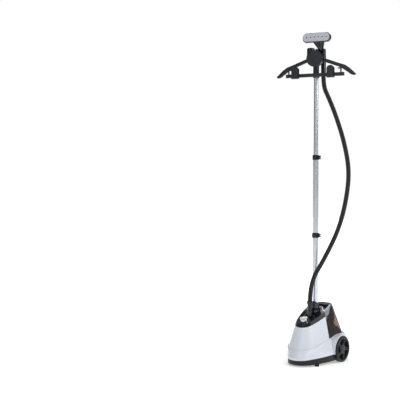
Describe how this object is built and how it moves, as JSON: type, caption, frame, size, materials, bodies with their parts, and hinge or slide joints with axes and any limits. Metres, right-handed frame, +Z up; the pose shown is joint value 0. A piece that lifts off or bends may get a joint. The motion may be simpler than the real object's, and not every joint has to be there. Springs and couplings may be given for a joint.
{
  "type": "garment steamer",
  "caption": "Upright garment steamer with wheeled base, lift-off tank, telescopic pole, folding hanger with trouser clips, steam head and hose.",
  "frame": {"origin": "on the floor under the middle of the object's box", "axes": "+Z up the pole, -Y to the nose with the steam dial, +X to the object's left-hand wheel as seen from behind it"},
  "size_m": [0.3941, 0.372, 1.648],
  "materials": {
    "white_gloss": "glossy white moulding",
    "skirt_black": "satin black moulding",
    "deck_black": "piano black moulding",
    "tank_smoke": "smoked clear moulding",
    "dock_grey": "dark grey moulding",
    "trim_grey": "grey striped trim",
    "dial_satin": "satin grey-brown",
    "dial_chrome": "polished ring",
    "wheel_grey": "dark grey wheel",
    "rubber_black": "black rubber",
    "tyre_black": "black tread ring",
    "tube_alu": "anodised tube",
    "steel": "zinc plated steel",
    "cast_alu": "cast heater",
    "hanger_black": "dark moulding",
    "plate_silver": "silver soleplate",
    "hose_black": "braided sleeve"
  },
  "bodies": {
    "base": {"base_pan": "skirt_black", "front_feet": "rubber_black", "body_shell": "white_gloss", "deck_cover": "deck_black", "hose_port": "deck_black", "pole_socket": "deck_black", "socket_sleeve": "deck_black", "tank_dock": "dock_grey", "heater": "cast_alu", "steam_pipe": "steel", "wheel_axle": "steel", "cord_gland": "rubber_black", "pan_screws": "steel", "lower_tube": "tube_alu", "lower_collar": "hanger_black", "lower_pin": "steel", "hose_cuff": "hanger_black", "steam_hose": "hose_black"},
    "dial": {"dial_ring": "dial_chrome", "dial_cap": "dial_satin"},
    "right_wheel": {"wheel_right": "wheel_grey", "tyre_right": "tyre_black", "hub_cap_right": "wheel_grey"},
    "left_wheel": {"wheel_left": "wheel_grey", "tyre_left": "tyre_black", "hub_cap_left": "wheel_grey"},
    "tank": {"tank_shell": "tank_smoke", "tank_lid": "deck_black", "tank_trim": "trim_grey", "tank_handle": "deck_black", "tank_cap": "dock_grey"},
    "low_lever": {"lower_lever": "hanger_black"},
    "mid_pole": {"middle_tube": "tube_alu", "upper_collar": "hanger_black", "upper_pin": "steel"},
    "high_lever": {"upper_lever": "hanger_black"},
    "top_pole": {"upper_tube": "tube_alu"},
    "hanger": {"hanger_hub": "hanger_black", "hub_disc": "hanger_black", "head_cradle": "hanger_black", "trouser_bar": "hanger_black"},
    "right_arm": {"arm_right": "hanger_black"},
    "left_arm": {"arm_left": "hanger_black"},
    "left_clip": {"clip_left_back": "hanger_black"},
    "left_jaw": {"clip_left_jaw": "hanger_black"},
    "right_clip": {"clip_right_back": "hanger_black"},
    "right_jaw": {"clip_right_jaw": "hanger_black"},
    "steam_head": {"head_shell": "deck_black", "head_plate": "plate_silver"}
  },
  "joints": [
    {"name": "dial_turn", "type": "hinge", "parent": "base", "child": "dial", "pos_m": [0, -0.092, 0.2136], "axis": [0, -0.2419, 0.9703], "range_deg": [0, 270]},
    {"name": "right_wheel_spin", "type": "hinge", "parent": "base", "child": "right_wheel", "pos_m": [0.118, 0.0684, 0.064], "axis": [1, 0, 0], "continuous": true},
    {"name": "left_wheel_spin", "type": "hinge", "parent": "base", "child": "left_wheel", "pos_m": [-0.118, 0.0684, 0.064], "axis": [1, 0, 0], "continuous": true},
    {"name": "tank_lift", "type": "slide", "parent": "base", "child": "tank", "axis": [0, 0, 1], "range_m": [0, 0.12]},
    {"name": "low_lever_flip", "type": "hinge", "parent": "base", "child": "low_lever", "pos_m": [0.02216, 0.01615, 0.634], "axis": [0, 0, 1], "range_deg": [0, 100]},
    {"name": "mid_pole_slide", "type": "slide", "parent": "base", "child": "mid_pole", "axis": [0, 0, 1], "range_m": [-0.34, 0], "deforming": ["steam_hose"]},
    {"name": "high_lever_flip", "type": "hinge", "parent": "mid_pole", "child": "high_lever", "pos_m": [0.02072, 0.01575, 1.026], "axis": [0, 0, 1], "range_deg": [0, 100]},
    {"name": "top_pole_slide", "type": "slide", "parent": "mid_pole", "child": "top_pole", "axis": [0, 0, 1], "range_m": [-0.335, 0], "deforming": ["steam_hose"]},
    {"name": "hanger_swivel", "type": "hinge", "parent": "top_pole", "child": "hanger", "pos_m": [0, 0.01, 1.5], "axis": [0, 0, 1], "range_deg": [-90, 90], "deforming": ["steam_hose"]},
    {"name": "right_arm_fold", "type": "hinge", "parent": "hanger", "child": "right_arm", "pos_m": [0.02912, 0.00977, 1.517], "axis": [-0.2672, 0.9636, 0], "range_deg": [0, 60]},
    {"name": "left_arm_fold", "type": "hinge", "parent": "hanger", "child": "left_arm", "pos_m": [-0.02484, -0.00519, 1.517], "axis": [0.2672, -0.9636, 0], "range_deg": [0, 60]},
    {"name": "left_clip_slide", "type": "slide", "parent": "hanger", "child": "left_clip", "axis": [0.9636, 0.2672, 0], "range_m": [-0.012, 0.065]},
    {"name": "left_jaw_open", "type": "hinge", "parent": "left_clip", "child": "left_jaw", "pos_m": [-0.09011, -0.04301, 1.455], "axis": [0.9636, 0.2672, 0], "range_deg": [-12, 0], "stiffness_Nm_per_rad": 0.4, "springref_deg": 11.46},
    {"name": "right_clip_slide", "type": "slide", "parent": "hanger", "child": "right_clip", "axis": [0.9636, 0.2672, 0], "range_m": [-0.048, 0.026]},
    {"name": "right_jaw_open", "type": "hinge", "parent": "right_clip", "child": "right_jaw", "pos_m": [0.08527, 0.00563, 1.455], "axis": [0.9636, 0.2672, 0], "range_deg": [-12, 0], "stiffness_Nm_per_rad": 0.4, "springref_deg": 11.46},
    {"name": "head_lift", "type": "slide", "parent": "hanger", "child": "steam_head", "axis": [0, 0, 1], "range_m": [0, 0.06], "deforming": ["steam_hose"]}
  ]
}
